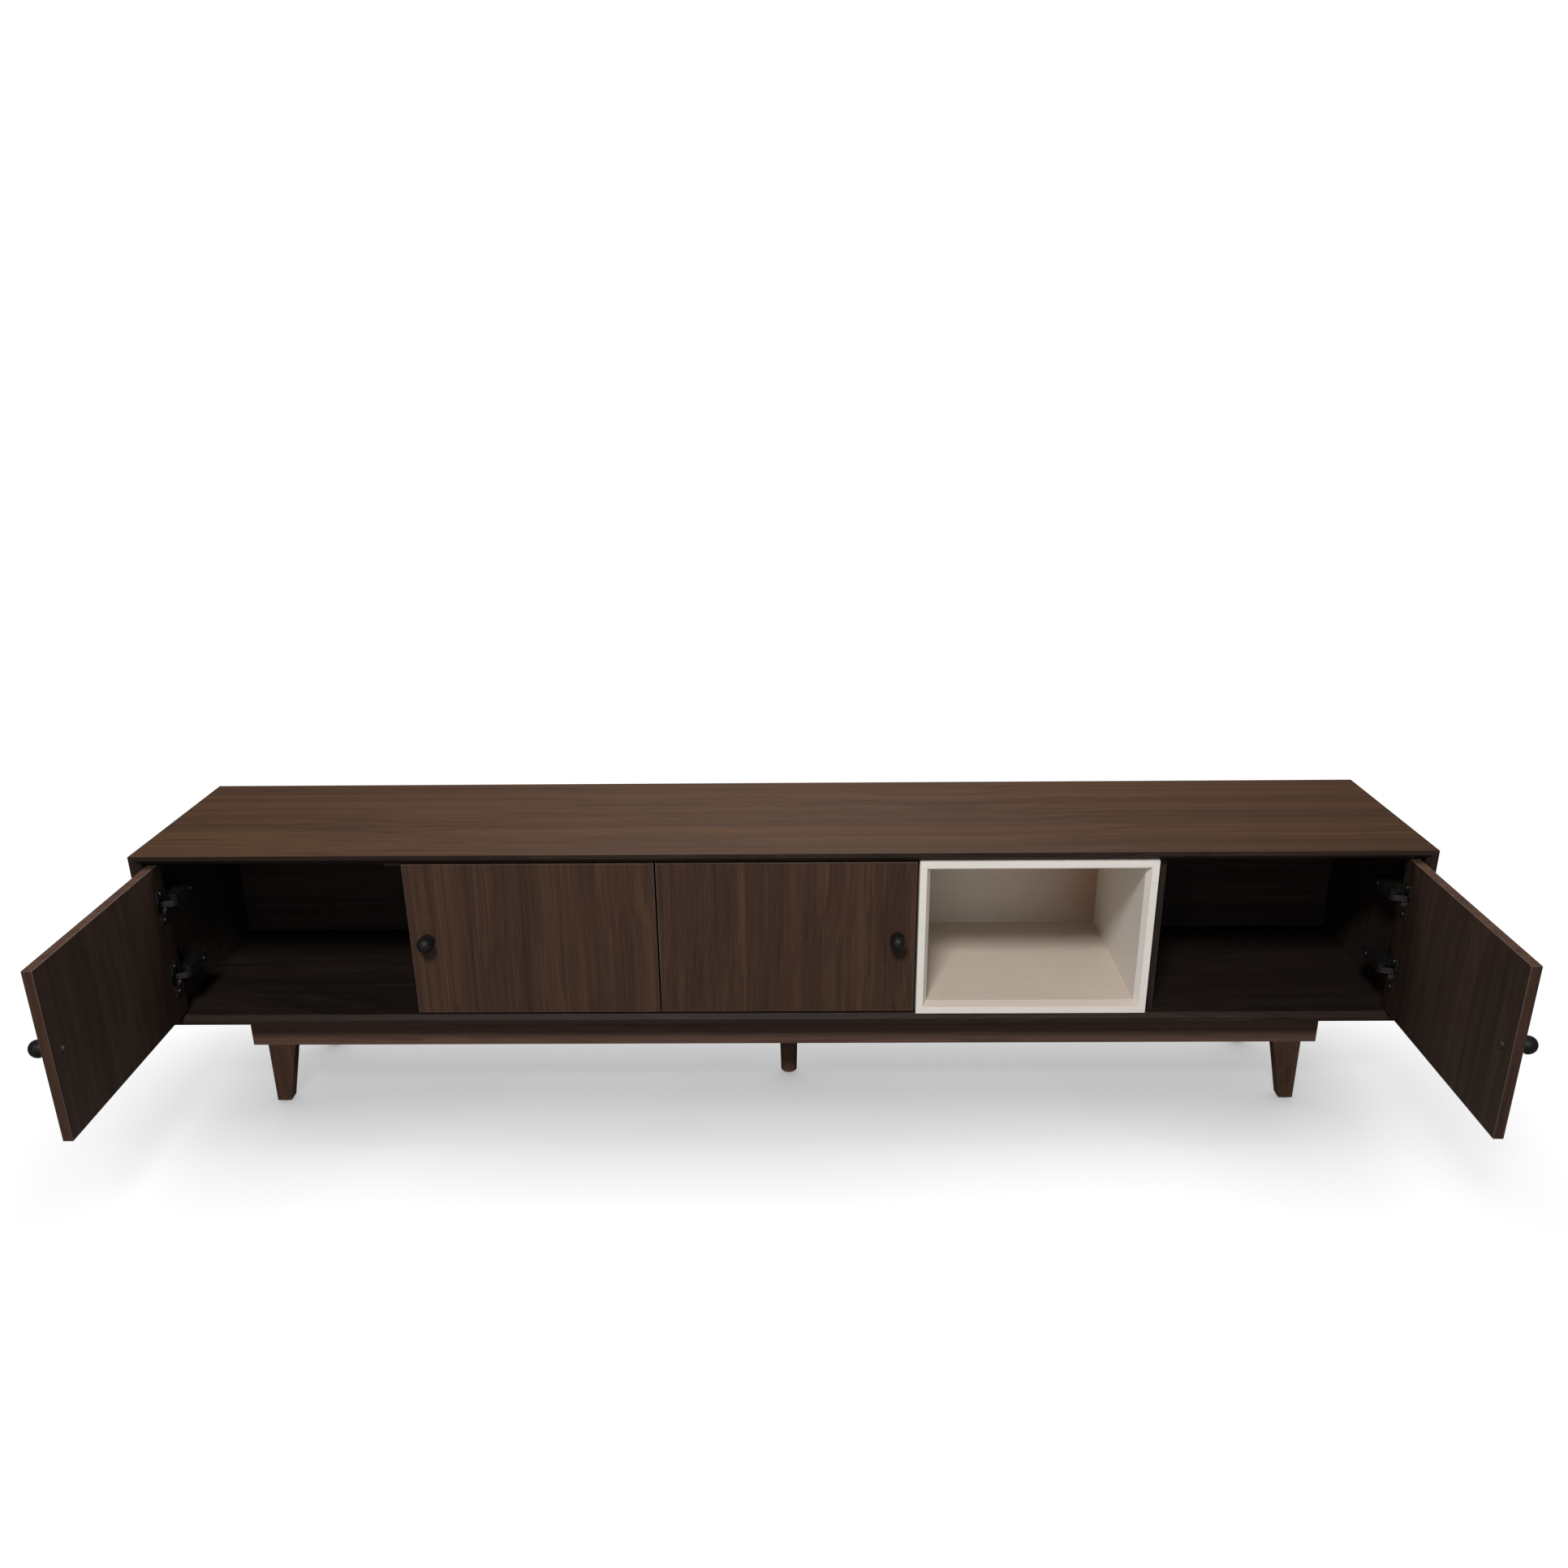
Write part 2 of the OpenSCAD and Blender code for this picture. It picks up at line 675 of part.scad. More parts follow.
// Steel cup with its flange, two on each door
module hinge_cups(i) {
    color(STEEL) door_place(i) at_hinges() difference() {
        union() {
            v_cylinder(cup_u, board_t - cup_deep, cup_r, cup_deep);
            translate([cup_u - flange_w / 2, board_t, -flange_h / 2])
                cube([flange_w, flange_t, flange_h]);
        }
        v_cylinder(cup_u, board_t - cup_deep + cup_floor_t, cup_in_r, cup_deep + flange_t);
        for (z = [-cup_screw_z, cup_screw_z]) {
            translate([0, 0, z]) v_cylinder(cup_u, board_t - over, screw_r + slip, flange_t + 2 * over);
        }
    }
}

// Unit normal of the stretch of the link's path that starts at point k
function link_normal(k) =
    let (step = LINK_PATH[k + 1] - LINK_PATH[k]) [-step[1], step[0]] / norm(step);

// Sideways step at point k that keeps the bar's thickness, mitred at the bends
function link_step(k) =
    let (last = len(LINK_PATH) - 1,
         before = link_normal(k == 0 ? 0 : k - 1),
         after = link_normal(k == last ? last - 1 : k),
         both = before + after)
    both * link_t / (both * both);

// Goose-neck link from the arm's pin into the cup
module hinge_links(i) {
    last = len(LINK_PATH) - 1;
    outline = concat([for (k = [0:last]) LINK_PATH[k] + link_step(k)],
                     [for (k = [last:-1:0]) LINK_PATH[k] - link_step(k)]);
    color(STEEL) link_place(i) at_hinges() translate([0, 0, -link_w / 2]) difference() {
        union() {
            linear_extrude(link_w) polygon(outline);
            translate([link_pin[0], link_pin[1], 0]) cylinder(r = link_knuckle_r, h = link_w);
        }
        translate([link_pin[0], link_pin[1], -over])
            cylinder(r = link_pin_r + slip, h = link_w + 2 * over);
    }
}

// Screws driven from inside the door: four in the cups and one for the knob
module door_screws(i) {
    color(STEEL) door_place(i) {
        at_hinges() for (z = [-cup_screw_z, cup_screw_z]) translate([0, 0, z]) {
            v_cylinder(cup_u, board_t - cup_screw_in, screw_r, cup_screw_in + flange_t);
            v_cylinder(cup_u, board_t + flange_t, screw_head_r, screw_head_h);
        }
        translate([0, 0, z_mid]) {
            v_cylinder(knob_u(i), -knob_screw_in, knob_screw_r, board_t + knob_screw_in);
            v_cylinder(knob_u(i), board_t, knob_screw_head_r, screw_head_h);
        }
    }
}

module door_1() { door(0); }
module door_2() { door(1); }
module door_3() { door(2); }
module door_4() { door(3); }
module knob_1() { knob(0); }
module knob_2() { knob(1); }
module knob_3() { knob(2); }
module knob_4() { knob(3); }
module hinge_cups_1() { hinge_cups(0); }
module hinge_cups_2() { hinge_cups(1); }
module hinge_cups_3() { hinge_cups(2); }
module hinge_cups_4() { hinge_cups(3); }
module hinge_links_1() { hinge_links(0); }
module hinge_links_2() { hinge_links(1); }
module hinge_links_3() { hinge_links(2); }
module hinge_links_4() { hinge_links(3); }
module door_screws_1() { door_screws(0); }
module door_screws_2() { door_screws(1); }
module door_screws_3() { door_screws(2); }
module door_screws_4() { door_screws(3); }

top_panel();
bottom_panel();
left_side();
right_side();
divider_1();
divider_2();
divider_3();
divider_4();
back_panel_left();
back_panel_middle();
back_panel_right();
niche_top();
niche_bottom();
niche_left();
niche_right();
niche_back();
stop_block();
front_rail();
rear_rail();
end_rail_left();
end_rail_right();
cross_rail_left();
cross_rail_right();
front_leg_left();
front_leg_right();
rear_leg_left();
rear_leg_right();
centre_leg();
leg_plates();
foot_glides();
divider_dowels();
leg_dowels();
back_screws();
base_screws();
hinge_plates();
hinge_arms();
hinge_pins();
hinge_plate_screws();
leg_plate_screws();
door_1();
door_2();
door_3();
door_4();
knob_1();
knob_2();
knob_3();
knob_4();
hinge_cups_1();
hinge_cups_2();
hinge_cups_3();
hinge_cups_4();
hinge_links_1();
hinge_links_2();
hinge_links_3();
hinge_links_4();
door_screws_1();
door_screws_2();
door_screws_3();
door_screws_4();
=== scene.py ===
import json
import math

import bmesh
import bpy
from mathutils import Euler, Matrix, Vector


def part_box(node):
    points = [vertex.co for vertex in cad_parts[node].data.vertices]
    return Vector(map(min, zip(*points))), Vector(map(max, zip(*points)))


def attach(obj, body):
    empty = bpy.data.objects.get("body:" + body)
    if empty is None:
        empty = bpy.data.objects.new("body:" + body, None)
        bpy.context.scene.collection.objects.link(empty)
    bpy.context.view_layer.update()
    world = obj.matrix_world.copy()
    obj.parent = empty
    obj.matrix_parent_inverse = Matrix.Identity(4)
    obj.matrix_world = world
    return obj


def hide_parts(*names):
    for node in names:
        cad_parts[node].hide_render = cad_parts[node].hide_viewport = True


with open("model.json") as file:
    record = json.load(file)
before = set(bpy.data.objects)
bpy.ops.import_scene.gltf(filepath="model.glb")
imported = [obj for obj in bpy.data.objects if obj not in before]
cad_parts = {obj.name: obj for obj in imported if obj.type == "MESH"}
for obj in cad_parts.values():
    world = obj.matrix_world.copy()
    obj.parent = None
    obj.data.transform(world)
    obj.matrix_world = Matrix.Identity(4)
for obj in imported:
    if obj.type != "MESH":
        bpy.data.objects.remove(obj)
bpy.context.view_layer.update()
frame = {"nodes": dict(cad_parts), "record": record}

# The case as packed: its front plane and its middle
CASE_LOW, CASE_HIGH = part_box("bottom_panel")[0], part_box("top_panel")[1]
CASE_FRONT_Y = CASE_LOW.y
CASE_MID_X = (CASE_LOW.x + CASE_HIGH.x) / 2


# ---------------------------------------------------------------- camera

SENSOR_MM = 36.0
FOCAL_IN_IMAGE_SIDES = 0.8703
SHIFT_Y = 0.0882
CAMERA_FROM_CASE_FRONT = Vector((0.0368, -2.1472, 1.2910))
CAMERA_PITCH_DOWN = math.radians(23.09)
CAMERA_YAW = math.radians(0.81)
CAMERA_ROLL = math.radians(-0.573)
VIEW_REACH = 60  # metres


def make_camera():
    data = bpy.data.cameras.new("camera")
    data.sensor_fit = "HORIZONTAL"
    data.sensor_width = SENSOR_MM
    data.lens = FOCAL_IN_IMAGE_SIDES * SENSOR_MM
    data.shift_y = SHIFT_Y
    data.clip_end = VIEW_REACH
    camera = bpy.data.objects.new("camera", data)
    bpy.context.scene.collection.objects.link(camera)
    camera.location = Vector((CASE_MID_X, CASE_FRONT_Y, 0)) + CAMERA_FROM_CASE_FRONT
    aim = Euler((math.pi / 2 - CAMERA_PITCH_DOWN, 0, CAMERA_YAW), "XYZ").to_matrix()
    roll = Euler((0, 0, CAMERA_ROLL), "XYZ").to_matrix()
    camera.rotation_euler = (aim @ roll).to_euler()
    bpy.context.scene.camera = camera


# ---------------------------------------------------------------- shader helpers

class Shader:
    """A small builder around one material's node tree."""

    def __init__(self, name):
        self.material = bpy.data.materials.new(name)
        self.material.use_nodes = True
        self.nodes = self.material.node_tree.nodes
        self.links = self.material.node_tree.links
        self.bsdf = self.nodes["Principled BSDF"]

    def node(self, kind, **values):
        made = self.nodes.new(kind)
        for key, value in values.items():
            setattr(made, key, value)
        return made

    def wire(self, source, socket):
        if isinstance(source, (int, float)):
            socket.default_value = source
        elif isinstance(source, (tuple, list)):
            socket.default_value = tuple(source)
        else:
            self.links.new(source, socket)

    def place(self, scale, offset=(0, 0, 0)):
        """Object coordinates in metres, moved by offset and then scaled along each axis."""
        coords = self.node("ShaderNodeTexCoord")
        mapping = self.node("ShaderNodeMapping")
        mapping.vector_type = "POINT"
        mapping.inputs["Location"].default_value = [o * s for o, s in zip(offset, scale)]
        mapping.inputs["Scale"].default_value = scale
        self.links.new(coords.outputs["Object"], mapping.inputs["Vector"])
        return mapping.outputs["Vector"]

    def noise(self, vector, detail=3.0, roughness=0.5):
        """Noise at the scale that the vector already has."""
        made = self.node("ShaderNodeTexNoise")
        self.wire(vector, made.inputs["Vector"])
        made.inputs["Scale"].default_value = 1.0
        made.inputs["Detail"].default_value = detail
        made.inputs["Roughness"].default_value = roughness
        return made.outputs["Fac"]

    def math(self, operation, a, b=0.0, clamp=False):
        made = self.node("ShaderNodeMath", operation=operation, use_clamp=clamp)
        self.wire(a, made.inputs[0])
        self.wire(b, made.inputs[1])
        return made.outputs[0]

    def ramp(self, factor, stops):
        made = self.node("ShaderNodeValToRGB")
        elements = made.color_ramp.elements
        while len(elements) < len(stops):
            elements.new(0.5)
        for element, (position, colour) in zip(elements, stops):
            element.position = position
            element.color = (*colour, 1)
        self.wire(factor, made.inputs["Fac"])
        return made.outputs["Color"]

    def mix(self, factor, a, b):
        made = self.node("ShaderNodeMix", data_type="RGBA")
        self.wire(factor, made.inputs["Factor"])
        self.wire(a, made.inputs["A"])
        self.wire(b, made.inputs["B"])
        return made.outputs["Result"]

    def span(self, value, low, high, to_low, to_high):
        made = self.node("ShaderNodeMapRange")
        self.wire(value, made.inputs["Value"])
        for name, number in zip(("From Min", "From Max", "To Min", "To Max"), (low, high, to_low, to_high)):
            made.inputs[name].default_value = number
        return made.outputs["Result"]

    def bump(self, height, strength, distance, under=None):
        made = self.node("ShaderNodeBump")
        made.inputs["Strength"].default_value = strength
        made.inputs["Distance"].default_value = distance
        self.wire(height, made.inputs["Height"])
        if under is not None:
            self.links.new(under, made.inputs["Normal"])
        return made.outputs["Normal"]

    def convex_edges(self, radius):
        """1 on outer edges and 0 on flat faces, from how far a bevelled normal leans."""
        bevel = self.node("ShaderNodeBevel", samples=4)
        bevel.inputs["Radius"].default_value = radius
        geometry = self.node("ShaderNodeNewGeometry")
        dot = self.node("ShaderNodeVectorMath", operation="DOT_PRODUCT")
        self.links.new(bevel.outputs["Normal"], dot.inputs[0])
        self.links.new(geometry.outputs["Normal"], dot.inputs[1])
        return self.span(dot.outputs["Value"], 0.98, 0.80, 0.0, 1.0)

    def finish(self, colour, roughness, normal=None, specular=0.5, metallic=0.0):
        self.wire(colour, self.bsdf.inputs["Base Color"])
        self.wire(roughness, self.bsdf.inputs["Roughness"])
        self.bsdf.inputs["Specular IOR Level"].default_value = specular
        self.bsdf.inputs["Metallic"].default_value = metallic
        if normal is not None:
            self.links.new(normal, self.bsdf.inputs["Normal"])
        return self.material


# ---------------------------------------------------------------- materials

# The axis that each grain direction runs along
GRAIN_AXES = {"x": 0, "y": 1, "z": 2}

# How far the streaks wander sideways, in metres
WANDER = 0.05


def grain_scale(grain, across, along):
    scale = [across] * 3
    scale[GRAIN_AXES[grain]] = along
    return scale


def walnut(name, grain, seed, tones, shine=0.46, edge_highlight=None, stretch=1.0):
    """Satin dark walnut veneer. grain is the fibres' axis, and tones run from dark to light.

    A stretch above 1 makes the streaks longer and straighter.
    """
    s = Shader(name)
    offset = (seed * 0.731, seed * 0.457, seed * 0.293)
    dark, middle, light = tones

    def streaks(across, along, detail, roughness):
        """Noise drawn out along the fibres. A slower noise pushes it sideways, so that it wanders."""
        moved = s.node("ShaderNodeVectorMath", operation="ADD")
        s.links.new(s.place(grain_scale(grain, across, along / stretch), offset), moved.inputs[0])
        push = WANDER * across / stretch
        s.links.new(s.span(sway, 0.0, 1.0, -push, push), moved.inputs[1])
        return s.noise(moved.outputs["Vector"], detail=detail, roughness=roughness)

    sway = s.noise(s.place(grain_scale(grain, 2.6, 1.6), offset), detail=1)
    bands = streaks(11.0, 0.5, 2, 0.5)
    figure = streaks(48.0, 1.1, 4, 0.62)
    lines = streaks(240.0, 3.0, 3, 0.60)
    fibres = streaks(900.0, 14.0, 2, 0.55)

    layers = ((bands, 0.55), (figure, 1.0), (lines, 0.62), (fibres, 0.30))
    blend = 0.0
    for layer, weight in layers:
        blend = s.math("ADD", blend, s.math("MULTIPLY", layer, weight))
    mean = s.math("DIVIDE", blend, sum(weight for layer, weight in layers))
    colour = s.ramp(mean, [(0.385, dark), (0.50, middle), (0.615, light)])

    # Narrow dark growth lines, and fine open pores as short dashes along the fibres
    growth = s.span(streaks(130.0, 1.6, 2, 0.5), 0.57, 0.67, 0.0, 0.38)
    colour = s.mix(growth, colour, (*[c * 0.62 for c in dark], 1))
    pores = s.noise(s.place(grain_scale(grain, 1500.0, 38.0), offset), detail=2, roughness=0.6)
    pore_mask = s.span(pores, 0.60, 0.72, 0.0, 1.0)
    colour = s.mix(s.math("MULTIPLY", pore_mask, 0.45), colour, (*[c * 0.45 for c in dark], 1))

    # Rubbed edges let a little of the lighter wood through; the pale line all round a door is a painted
    # highlight on its eased edges
    if edge_highlight:
        edge, wear_and_highlight = s.convex_edges(EDGE_HIGHLIGHT_REACH), edge_highlight
    else:
        patches = s.span(s.noise(s.place((60, 60, 60), offset), detail=3), 0.42, 0.62, 0.35, 1.0)
        edge = s.math("MULTIPLY", s.convex_edges(WEAR_REACH), patches)
        wear_and_highlight = tuple(min(1.0, c * 2.3 + 0.012) for c in middle)
    colour = s.mix(s.math("MULTIPLY", edge, 0.75), colour, (*wear_and_highlight, 1))

    smears = s.noise(s.place((7, 7, 7), offset), detail=4, roughness=0.6)
    roughness = s.math("ADD", s.span(smears, 0.3, 0.7, shine - 0.05, shine + 0.06),
                       s.math("MULTIPLY", pore_mask, 0.18), clamp=True)
    normal = s.bump(s.math("SUBTRACT", 1.0, pore_mask), 0.10, 0.00012)
    normal = s.bump(lines, 0.06, 0.0004, under=normal)
    return s.finish(colour, roughness, normal, specular=0.12)


def lacquer(name, base, shadow, seed, painted_reflection=None):
    """Warm white satin lacquer with a light orange-peel, faint brush lines and faint scuffs.

    The optional last argument is a painted reddish reflection and shade: a colour that the face drifts to,
    with the two ends of the drift along X.
    """
    s = Shader(name)
    offset = (seed * 0.37, seed * 0.91, seed * 0.53)
    clouds = s.noise(s.place((4, 4, 4), offset), detail=4, roughness=0.6)
    specks = s.noise(s.place((900, 900, 900), offset), detail=2)
    brush = s.noise(s.place((9, 260, 260), offset), detail=2)
    colour = s.mix(s.span(clouds, 0.35, 0.70, 0.0, 0.55), (*base, 1), (*shadow, 1))
    # Painted reddish reflection and shade, drifting in along X and patchy with the clouds
    if painted_reflection:
        tint, start, end = painted_reflection
        split = s.node("ShaderNodeSeparateXYZ")
        s.links.new(s.place((1, 1, 1)), split.inputs[0])
        reflection_drift = s.math("MULTIPLY", s.span(split.outputs["X"], start, end, 0.0, 1.0),
                       s.span(clouds, 0.3, 0.6, 0.7, 1.0))
        colour = s.mix(reflection_drift, colour, (*tint, 1))
    colour = s.mix(s.span(brush, 0.40, 0.70, 0.0, 0.14), colour, (*[c * 0.72 for c in shadow], 1))
    colour = s.mix(s.span(specks, 0.60, 0.75, 0.0, 0.16), colour, (0.42, 0.38, 0.33, 1))
    edge = s.convex_edges(0.001)
    colour = s.mix(s.math("MULTIPLY", edge, 0.30), colour, (0.93, 0.90, 0.86, 1))
    peel = s.noise(s.place((420, 420, 420), offset), detail=1)
    roughness = s.span(clouds, 0.3, 0.7, 0.44, 0.56)
    return s.finish(colour, roughness, s.bump(peel, 0.06, 0.0004), specular=0.3)


def black_lacquer(name):
    """Satin black turned knob: fine grit and small dents in the lacquer."""
    s = Shader(name)
    dents = s.noise(s.place((160, 160, 160)), detail=3, roughness=0.55)
    grit = s.noise(s.place((2200, 2200, 2200)), detail=1)
    edge = s.convex_edges(0.0015)
    colour = s.mix(s.span(dents, 0.35, 0.7, 0, 1), (0.005, 0.005, 0.0055, 1), (0.010, 0.0095, 0.0095, 1))
    colour = s.mix(s.math("MULTIPLY", edge, 0.3), colour, (0.03, 0.027, 0.025, 1))
    normal = s.bump(dents, 0.14, 0.0008)
    normal = s.bump(grit, 0.04, 0.0002, under=normal)
    return s.finish(colour, s.span(dents, 0.3, 0.7, 0.46, 0.58), normal, specular=0.26)


def steel(name, tint, low, high, brushed="z"):
    """Plated steel with fine drawing marks, smudges and darker specks."""
    s = Shader(name)
    marks = s.noise(s.place(grain_scale(brushed, 2400.0, 60.0)), detail=2)
    smudge = s.noise(s.place((70, 70, 70)), detail=4, roughness=0.6)
    specks = s.span(s.noise(s.place((700, 700, 700)), detail=2), 0.62, 0.72, 0.0, 0.5)
    dull = tuple(c * 0.62 for c in tint)
    colour = s.mix(s.span(smudge, 0.35, 0.68, 0, 1), (*tint, 1), (*dull, 1))
    colour = s.mix(specks, colour, (*[c * 0.35 for c in tint], 1))
    # Painted highlight: the thin outer edges are made much lighter, as a light line along them
    edge_glint = (*[min(1.0, c * 4.2) for c in tint], 1)
    colour = s.mix(s.math("MULTIPLY", s.convex_edges(0.0007), 0.8), colour, edge_glint)
    roughness = s.math("ADD", s.span(smudge, 0.3, 0.7, low, high), s.math("MULTIPLY", marks, 0.08))
    return s.finish(colour, roughness, s.bump(marks, 0.10, 0.00008), specular=0.5, metallic=1.0)


def powder_coat(name):
    s = Shader(name)
    grains = s.noise(s.place((1300, 1300, 1300)), detail=2)
    dust = s.noise(s.place((30, 30, 30)), detail=4)
    colour = s.mix(s.span(dust, 0.4, 0.7, 0, 1), (0.016, 0.016, 0.017, 1), (0.035, 0.033, 0.031, 1))
    return s.finish(colour, s.span(grains, 0.3, 0.7, 0.5, 0.7), s.bump(grains, 0.3, 0.0003))


def nylon(name):
    s = Shader(name)
    scuffs = s.noise(s.place((240, 240, 60)), detail=4, roughness=0.7)
    colour = s.mix(s.span(scuffs, 0.45, 0.7, 0, 1), (0.012, 0.012, 0.012, 1), (0.045, 0.043, 0.040, 1))
    return s.finish(colour, s.span(scuffs, 0.3, 0.7, 0.42, 0.62), s.bump(scuffs, 0.15, 0.0003))


def beech(name):
    s = Shader(name)
    fibres = s.noise(s.place(grain_scale("z", 420.0, 22.0)), detail=4)
    flecks = s.span(s.noise(s.place(grain_scale("z", 900.0, 160.0)), detail=1), 0.62, 0.7, 0, 0.5)
    colour = s.ramp(fibres, [(0.3, (0.36, 0.21, 0.10)), (0.7, (0.55, 0.36, 0.20))])
    colour = s.mix(flecks, colour, (0.24, 0.13, 0.06, 1))
    return s.finish(colour, 0.62, s.bump(fibres, 0.2, 0.0003))


# How far rubbed edges reach in, and how far the painted highlight reaches in around each door
WEAR_REACH, EDGE_HIGHLIGHT_REACH = 0.0014, 0.0022

# Dark, middle and light tones of each kind of walnut surface
CASE_TONES = ((0.030, 0.0135, 0.0066), (0.043, 0.0195, 0.0090), (0.060, 0.0280, 0.0122))
EDGE_TONES = ((0.018, 0.0112, 0.0088), (0.026, 0.0160, 0.0125), (0.037, 0.0225, 0.0172))
DOOR_TONES = ((0.036, 0.0205, 0.0155), (0.058, 0.0300, 0.0198), (0.090, 0.0480, 0.0275))
DOOR_BACK_TONES = ((0.020, 0.0125, 0.0092), (0.029, 0.0176, 0.0130), (0.042, 0.0255, 0.0180))
BAY_FLOOR_TONES = ((0.011, 0.0078, 0.0066), (0.018, 0.0124, 0.0103), (0.027, 0.0186, 0.0150))
INSIDE_TONES = ((0.017, 0.0120, 0.0098), (0.027, 0.0185, 0.0150), (0.040, 0.0275, 0.0215))
BACK_OUTSIDE_TONES = ((0.028, 0.0160, 0.0105), (0.042, 0.0240, 0.0155), (0.062, 0.0350, 0.0225))
BACK_TONES = ((0.027, 0.0215, 0.0185), (0.042, 0.0330, 0.0280), (0.063, 0.0490, 0.0400))
# Painted light: the rails' tones are much lighter than the case's and the legs', to lift the shade under
# the case's overhang
RAIL_TONES_PAINTED_LIGHTER = ((0.070, 0.0400, 0.0300), (0.100, 0.0560, 0.0410), (0.134, 0.0750, 0.0530))
LEG_TONES = ((0.044, 0.0235, 0.0150), (0.062, 0.0325, 0.0205), (0.086, 0.0450, 0.0275))
ROUND_LEG_TONES = ((0.074, 0.0400, 0.0260), (0.104, 0.0560, 0.0360), (0.142, 0.0770, 0.0480))
# Painted highlight: the pale grey line along each door's eased edges
DOOR_EDGE_HIGHLIGHT = (0.190, 0.175, 0.165)
# How much longer and straighter the streaks are on long boards and on upright ones
LONG_GRAIN, UPRIGHT_GRAIN = 2.2, 1.5


def wood_for(node):
    """Grain direction and tones of a walnut node."""
    if node in ("top_panel", "bottom_panel"):
        return "x", CASE_TONES
    if node in ("left_side", "right_side"):
        return "z", CASE_TONES
    if node.startswith("door_"):
        return "z", DOOR_TONES
    if node.startswith("divider_"):
        return "z", INSIDE_TONES
    if node.startswith("back_panel") or node == "stop_block":
        return "x", BACK_TONES
    if node in ("front_rail", "rear_rail"):
        return "x", RAIL_TONES_PAINTED_LIGHTER
    if "rail" in node:
        return "y", RAIL_TONES_PAINTED_LIGHTER
    if node == "centre_leg" or node.startswith("rear_leg"):
        return "z", ROUND_LEG_TONES
    return "z", LEG_TONES


def niche_lacquer(node, seed):
    if node != "niche_back":
        return lacquer(node + "_lacquer", (0.90, 0.845, 0.785), (0.84, 0.775, 0.705), seed)
    # Painted shade and reflection: the niche back is a slightly darker copy of the niche lacquer, and from
    # a third of the way across to its right end it drifts to a darker, redder colour
    low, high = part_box(node)
    third = (high.x - low.x) / 3
    painted_reflection = ((0.40, 0.255, 0.175), low.x + third, high.x)
    return lacquer(node + "_lacquer", (0.80, 0.735, 0.665), (0.74, 0.665, 0.59), seed, painted_reflection)


WALNUT_SLOTS = ("walnut_case", "walnut_door", "walnut_inside", "walnut_rail", "walnut_leg")


def make_materials():
    """One material for each node, and shared ones for fittings."""
    slots = {row["node"]: row["material_slot"] for row in frame["record"]["subparts"]}
    shared = {
        "knob_black": black_lacquer("knob_black"),
        "hinge_steel": steel("hinge_steel", (0.085, 0.080, 0.077), 0.40, 0.54),
        "screw_steel": steel("screw_steel", (0.13, 0.125, 0.12), 0.40, 0.52, "x"),
        "plate_steel": powder_coat("plate_steel"),
        "glide_plastic": nylon("glide_plastic"),
        "beech_dowel": beech("beech_dowel"),
    }
    made = {}
    for count, node in enumerate(sorted(slots)):
        slot = slots[node]
        if slot in WALNUT_SLOTS:
            grain, tones = wood_for(node)
            # Doors get the painted edge highlight in place of rubbed edges
            edge_highlight = DOOR_EDGE_HIGHLIGHT if slot == "walnut_door" else None
            stretch = LONG_GRAIN if grain == "x" else UPRIGHT_GRAIN
            made[node] = walnut(node + "_walnut", grain, 1.7 * count + 3, tones, edge_highlight=edge_highlight, stretch=stretch)
        elif slot == "white_lacquer":
            made[node] = niche_lacquer(node, count)
        else:
            made[node] = shared[slot]
    return slots, made


# ---------------------------------------------------------------- eased boards

# A board edge is eased above SHARP, shaded as an edge above CREASE, and dissolved below FLAT
SHARP = math.radians(25)
CREASE = math.radians(35)
FLAT = math.radians(0.5)
SAME_POINT = 1e-6  # metres
EASING_STEPS = 3


def body_holding(node):
    for body, members in frame["record"]["behaviour"]["bodies"].items():
        if node in members:
            return body


def eased_copy(node, radius, shortest):
    """A copy of a CAD board whose long edges are eased to a small radius."""
    source = frame["nodes"][node]
    mesh = source.data.copy()
    mesh.name = node + "_eased"
    edit = bmesh.new()
    edit.from_mesh(mesh)
    bmesh.ops.remove_doubles(edit, verts=edit.verts, dist=SAME_POINT)
    bmesh.ops.dissolve_limit(edit, angle_limit=FLAT, verts=edit.verts, edges=edit.edges)
    eased = [
        e for e in edit.edges
        if len(e.link_faces) == 2 and e.is_convex
        and e.calc_face_angle(0) > SHARP and e.calc_length() > shortest
    ]
    bmesh.ops.bevel(edit, geom=eased, offset=radius, offset_type="OFFSET", segments=EASING_STEPS,
                    profile=0.5, affect="EDGES", clamp_overlap=True)
    for face in edit.faces:
        face.smooth = True
    for edge in edit.edges:
        edge.smooth = len(edge.link_faces) == 2 and edge.calc_face_angle(0) < CREASE
    edit.to_mesh(mesh)
    edit.free()
    piece = bpy.data.objects.new(node + "_eased", mesh)
    bpy.context.scene.collection.objects.link(piece)
    keep_faces_flat(piece)
    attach(piece, body_holding(node))
    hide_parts(node)
    return piece


def keep_faces_flat(piece):
    """Weights the shading towards the large faces, so that only the eased edges look round."""
    weighted = piece.modifiers.new("weighted_normals", "WEIGHTED_NORMAL")
    weighted.keep_sharp = True
    weighted.weight = 100


# Radius of the eased edges and the shortest edge that is eased, by the start of a node's name
EASING = (
    ("door_screws", None), ("door_", (0.0007, 0.05)),
    ("top_panel", (0.0006, 0.05)), ("bottom_panel", (0.0006, 0.05)),
    ("left_side", (0.0004, 0.05)), ("right_side", (0.0004, 0.05)),
    ("niche_back", None), ("niche_", (0.0004, 0.05)),
    ("front_leg", (0.0016, 0.02)), ("front_rail", (0.0010, 0.05)),
)


def easing_for(node):
    for start, sizes in EASING:
        if node.startswith(start):
            return sizes
    return None


